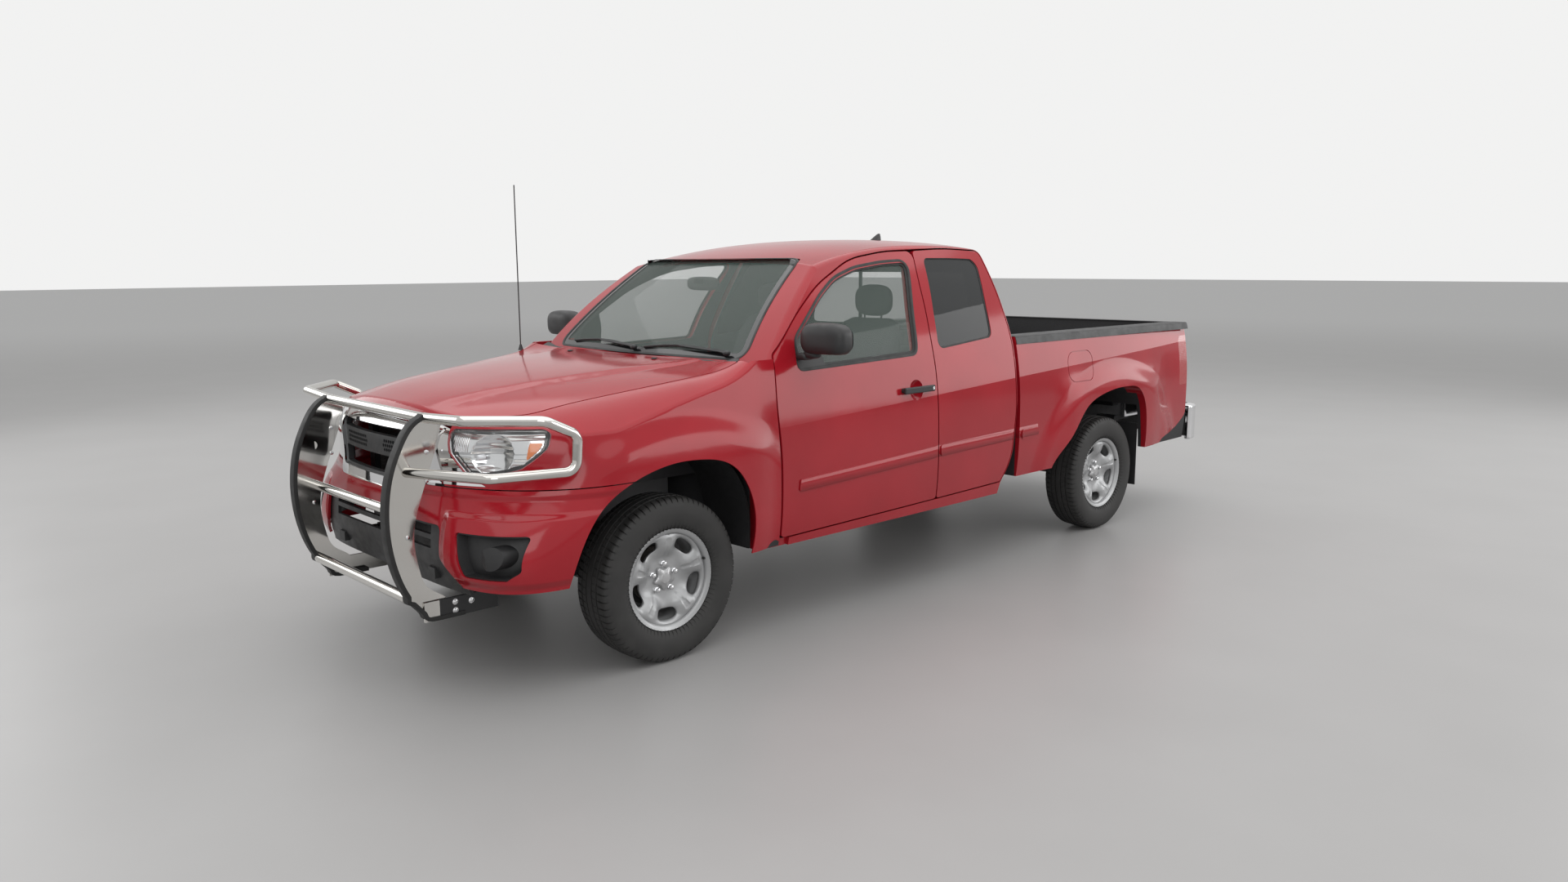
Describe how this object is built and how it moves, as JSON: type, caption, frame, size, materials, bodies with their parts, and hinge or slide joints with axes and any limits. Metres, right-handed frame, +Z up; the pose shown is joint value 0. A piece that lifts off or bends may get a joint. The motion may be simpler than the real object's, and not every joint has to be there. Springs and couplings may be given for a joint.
{
  "type": "pickup truck",
  "caption": "Extended-cab pickup truck with rear-hinged access doors, an open bed and a bent-plate grille guard.",
  "frame": {"origin": "on the ground, midway between the grille guard's front and the rear bumper's back, on the centre line", "axes": "+X is the vehicle's left, +Y points to its rear, +Z is up"},
  "size_m": [2.23, 5.4007, 1.97],
  "materials": {
    "body_paint": "gloss",
    "clear_glass": "gloss",
    "dark_glass": "gloss",
    "lamp_clear": "gloss",
    "lamp_red": "gloss",
    "dark_honeycomb": "satin",
    "guard_steel": "polished",
    "chrome_bumper": "polished",
    "tyre_rubber": "matte",
    "wheel_silver": "satin",
    "chassis_black": "satin",
    "cast_grey": "rough",
    "engine_grey": "satin",
    "exhaust_steel": "satin",
    "black_plastic": "matte",
    "interior_trim": "matte",
    "seat_cloth": "matte"
  },
  "bodies": {
    "chassis": {"cab_shell": "body_paint", "windshield": "clear_glass", "rear_window": "clear_glass", "fender_left": "body_paint", "fender_right": "body_paint", "headlamp_left": "lamp_clear", "headlamp_right": "lamp_clear", "front_bumper": "body_paint", "grille": "dark_honeycomb", "grille_guard": "guard_steel", "front_structure": "chassis_black", "bed": "body_paint", "tail_lamp_left": "lamp_red", "tail_lamp_right": "lamp_red", "rear_bumper": "chrome_bumper", "frame": "chassis_black", "front_suspension": "chassis_black", "rear_axle": "chassis_black", "driveshaft": "chassis_black", "engine": "engine_grey", "exhaust": "exhaust_steel", "fuel_tank": "black_plastic", "dashboard": "interior_trim", "seat_left": "seat_cloth", "seat_right": "seat_cloth", "antenna": "chassis_black", "bumper_inserts": "black_plastic", "grille_frame": "chrome_bumper", "nose_trims": "chrome_bumper", "cowl": "black_plastic", "wheel_arch_liners": "black_plastic", "mud_flaps": "black_plastic", "spare_wheel": "tyre_rubber", "jump_seats": "seat_cloth"},
    "hood": {"hood": "body_paint"},
    "tailgate": {"tailgate": "body_paint"},
    "steering_wheel": {"steering_wheel": "black_plastic"},
    "front_door_left": {"door_front_left": "body_paint", "glass_front_left": "clear_glass", "mirror_left": "black_plastic", "door_handle_left": "black_plastic"},
    "access_door_left_body": {"access_door_left": "body_paint", "glass_access_left": "dark_glass"},
    "knuckle_left_body": {"knuckle_left": "cast_grey"},
    "wheel_front_left": {"tyre_front_left": "tyre_rubber", "rim_front_left": "wheel_silver"},
    "wheel_rear_left": {"tyre_rear_left": "tyre_rubber", "rim_rear_left": "wheel_silver"},
    "front_door_right": {"door_front_right": "body_paint", "glass_front_right": "clear_glass", "mirror_right": "black_plastic", "door_handle_right": "black_plastic"},
    "access_door_right_body": {"access_door_right": "body_paint", "glass_access_right": "dark_glass"},
    "knuckle_right_body": {"knuckle_right": "cast_grey"},
    "wheel_front_right": {"tyre_front_right": "tyre_rubber", "rim_front_right": "wheel_silver"},
    "wheel_rear_right": {"tyre_rear_right": "tyre_rubber", "rim_rear_right": "wheel_silver"}
  },
  "joints": [
    {"name": "front_door_left_hinge", "type": "hinge", "parent": "chassis", "child": "front_door_left", "pos_m": [0.893, -1.157, 0.9], "axis": [0, 0, -1], "range_deg": [0, 70]},
    {"name": "access_door_left_hinge", "type": "hinge", "parent": "chassis", "child": "access_door_left_body", "pos_m": [0.893, 0.526, 0.9], "axis": [0, 0, 1], "range_deg": [0, 85]},
    {"name": "steer_left", "type": "hinge", "parent": "chassis", "child": "knuckle_left_body", "pos_m": [0.675, -1.71, 0.336], "axis": [0, 0, 1], "range_deg": [-32, 32]},
    {"name": "wheel_front_left_spin", "type": "hinge", "parent": "knuckle_left_body", "child": "wheel_front_left", "pos_m": [0.735, -1.71, 0.336], "axis": [1, 0, 0], "continuous": true},
    {"name": "wheel_rear_left_spin", "type": "hinge", "parent": "chassis", "child": "wheel_rear_left", "pos_m": [0.74, 1.526, 0.336], "axis": [1, 0, 0], "continuous": true},
    {"name": "front_door_right_hinge", "type": "hinge", "parent": "chassis", "child": "front_door_right", "pos_m": [-0.893, -1.157, 0.9], "axis": [0, 0, 1], "range_deg": [0, 70]},
    {"name": "access_door_right_hinge", "type": "hinge", "parent": "chassis", "child": "access_door_right_body", "pos_m": [-0.893, 0.526, 0.9], "axis": [0, 0, -1], "range_deg": [0, 85]},
    {"name": "steer_right", "type": "hinge", "parent": "chassis", "child": "knuckle_right_body", "pos_m": [-0.675, -1.71, 0.336], "axis": [0, 0, 1], "range_deg": [-32, 32]},
    {"name": "wheel_front_right_spin", "type": "hinge", "parent": "knuckle_right_body", "child": "wheel_front_right", "pos_m": [-0.735, -1.71, 0.336], "axis": [1, 0, 0], "continuous": true},
    {"name": "wheel_rear_right_spin", "type": "hinge", "parent": "chassis", "child": "wheel_rear_right", "pos_m": [-0.74, 1.526, 0.336], "axis": [1, 0, 0], "continuous": true},
    {"name": "hood_hinge", "type": "hinge", "parent": "chassis", "child": "hood", "pos_m": [0, -1.312, 1.185], "axis": [-1, 0, 0], "range_deg": [0, 50]},
    {"name": "tailgate_hinge", "type": "hinge", "parent": "chassis", "child": "tailgate", "pos_m": [0, 2.41, 0.735], "axis": [-1, 0, 0], "range_deg": [0, 90]},
    {"name": "steering_wheel_turn", "type": "hinge", "parent": "chassis", "child": "steering_wheel", "pos_m": [0.375, -0.725, 1.01], "axis": [0, 0.9063, 0.4226], "range_deg": [-512, 512]}
  ],
  "couplings": [
    {"joint": "steer_right", "follows": "steer_left", "ratio": 1},
    {"joint": "steering_wheel_turn", "follows": "steer_left", "ratio": 16}
  ]
}
